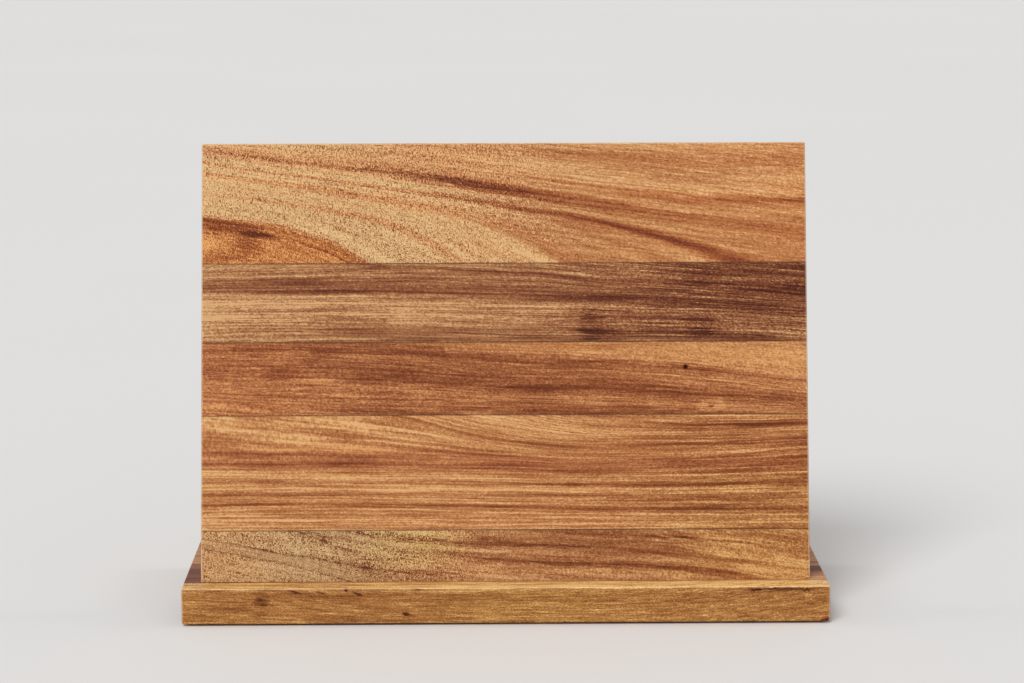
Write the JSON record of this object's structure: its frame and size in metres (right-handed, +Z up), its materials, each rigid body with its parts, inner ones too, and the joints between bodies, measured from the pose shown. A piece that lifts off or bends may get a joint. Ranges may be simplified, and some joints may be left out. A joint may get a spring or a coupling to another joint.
{
  "type": "knife magnetic rack",
  "caption": "Freestanding magnetic knife rack: a laminated wooden board leans back on a flat wooden base; magnets hidden inside it hold knives by their blades.",
  "frame": {"origin": "on the table, under the middle of the base", "axes": "+X to the right as seen from the knife side, the knife face looks towards -Y, +Z up"},
  "size_m": [0.32, 0.12, 0.2321],
  "materials": {
    "wood_front_bottom": "oiled satin acacia",
    "wood_front_lower": "oiled satin acacia",
    "wood_front_middle": "oiled satin acacia",
    "wood_front_upper": "oiled satin acacia",
    "wood_front_top": "oiled satin acacia",
    "wood_back_bottom": "oiled satin acacia",
    "wood_back_lower": "oiled satin acacia",
    "wood_back_middle": "oiled satin acacia",
    "wood_back_upper": "oiled satin acacia",
    "wood_back_top": "oiled satin acacia",
    "wood_base_front": "oiled satin acacia",
    "wood_base_second": "oiled satin acacia",
    "wood_base_third": "oiled satin acacia",
    "wood_base_rear": "oiled satin acacia",
    "nickel_plate": "bright nickel plate",
    "mild_steel": "oiled cold-rolled strip",
    "beech": "raw",
    "zinc_plate": "zinc plated",
    "pad_rubber": "matt black"
  },
  "bodies": {
    "root": {"front_stave_bottom": "wood_front_bottom", "front_stave_lower": "wood_front_lower", "front_stave_middle": "wood_front_middle", "front_stave_upper": "wood_front_upper", "front_stave_top": "wood_front_top", "back_stave_bottom": "wood_back_bottom", "back_stave_lower": "wood_back_lower", "back_stave_middle": "wood_back_middle", "back_stave_upper": "wood_back_upper", "back_stave_top": "wood_back_top", "base_stave_front": "wood_base_front", "base_stave_second": "wood_base_second", "base_stave_third": "wood_base_third", "base_stave_rear": "wood_base_rear", "upper_magnet_1": "nickel_plate", "upper_magnet_2": "nickel_plate", "upper_magnet_3": "nickel_plate", "upper_magnet_4": "nickel_plate", "upper_magnet_5": "nickel_plate", "upper_magnet_6": "nickel_plate", "upper_magnet_7": "nickel_plate", "upper_magnet_8": "nickel_plate", "lower_magnet_1": "nickel_plate", "lower_magnet_2": "nickel_plate", "lower_magnet_3": "nickel_plate", "lower_magnet_4": "nickel_plate", "lower_magnet_5": "nickel_plate", "lower_magnet_6": "nickel_plate", "lower_magnet_7": "nickel_plate", "lower_magnet_8": "nickel_plate", "upper_steel_strip": "mild_steel", "lower_steel_strip": "mild_steel", "locating_dowels": "beech", "base_screws": "zinc_plate", "foot_pad_front_left": "pad_rubber", "foot_pad_front_right": "pad_rubber", "foot_pad_rear_left": "pad_rubber", "foot_pad_rear_right": "pad_rubber"}
  },
  "joints": []
}
